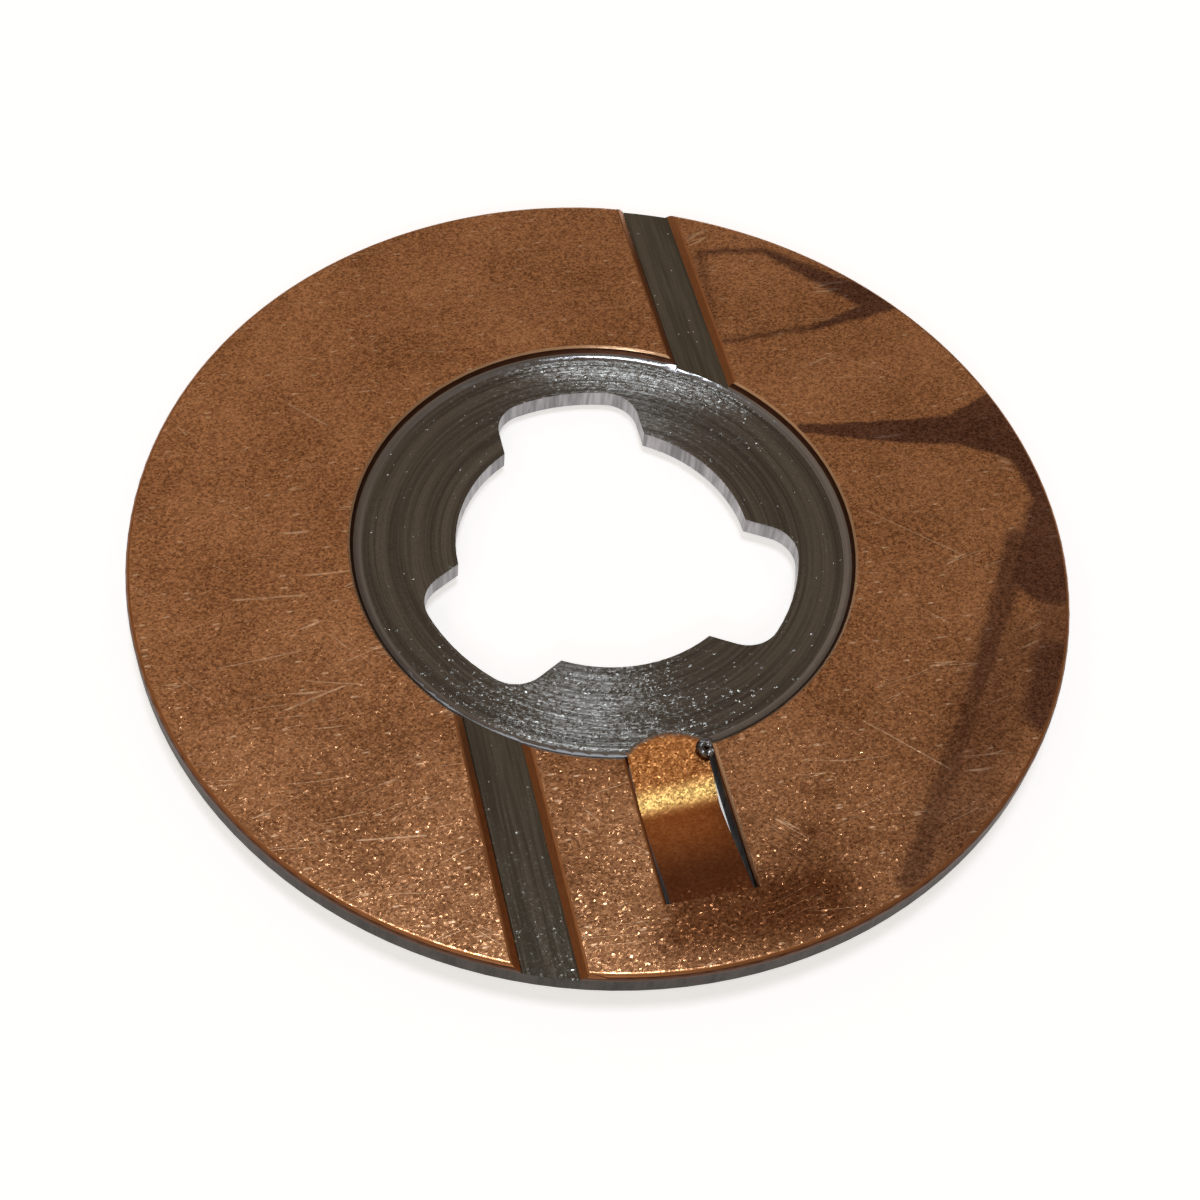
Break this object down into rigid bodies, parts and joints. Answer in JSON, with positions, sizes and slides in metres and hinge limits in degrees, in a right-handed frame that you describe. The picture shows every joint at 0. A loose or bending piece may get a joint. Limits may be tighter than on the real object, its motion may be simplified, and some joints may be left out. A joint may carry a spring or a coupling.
{
  "type": "thrust washer",
  "caption": "Flat round bimetal thrust washer: steel back with a bronze lining, straight oil grooves, a turned recess round a lobed bore and a lanced locating tab.",
  "frame": {"origin": "on the washer's axis at the flat back face", "axes": "+Z along the washer's axis towards the bronze face, -Y towards the lanced tab, +Y towards one lobe of the bore"},
  "size_m": [0.064, 0.064, 0.0034],
  "materials": {
    "steel": "turned and punched bare steel, slightly oily",
    "bronze": "sintered leaded bronze, fine grain, lightly scratched and tarnished"
  },
  "bodies": {
    "root": {"steel_back": "steel", "bronze_lining": "bronze"}
  },
  "joints": []
}
